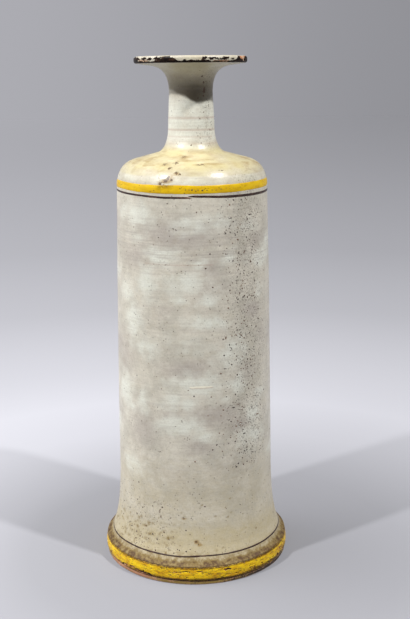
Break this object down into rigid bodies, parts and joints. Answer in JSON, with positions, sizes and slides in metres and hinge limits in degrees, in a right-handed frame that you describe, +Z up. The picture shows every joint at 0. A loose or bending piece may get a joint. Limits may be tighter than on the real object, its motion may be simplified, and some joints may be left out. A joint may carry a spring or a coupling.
{
  "type": "terracotta bottle",
  "caption": "Tall tin-glazed terracotta bottle with a flared foot, a low domed shoulder, a narrow neck and a wide flat lip, for storing and pouring liquids.",
  "frame": {"origin": "on the axis, in the plane that the foot stands on", "axes": "+Z up along the bottle's axis, from the foot to the lip; the front of the picture looks along +Y, with +X to the right"},
  "size_m": [0.1516, 0.1516, 0.4],
  "materials": {
    "terracotta": "matte",
    "slip": "matte",
    "white_glaze": "glossy",
    "lining_glaze": "glossy",
    "yellow_glaze": "glossy",
    "brown_glaze": "glossy"
  },
  "bodies": {
    "root": {"floor_slab": "terracotta", "floor_slip": "slip", "foot_ring": "terracotta", "foot_slip": "slip", "lower_wall": "terracotta", "waist_slip": "slip", "upper_wall": "terracotta", "shoulder_slip": "slip", "shoulder_dome": "terracotta", "neck_slip": "slip", "neck_and_lip": "terracotta", "outer_glaze": "white_glaze", "inner_glaze": "lining_glaze", "foot_band": "yellow_glaze", "foot_line": "brown_glaze", "shoulder_line": "brown_glaze", "shoulder_band": "yellow_glaze", "lip_band": "brown_glaze"}
  },
  "joints": []
}
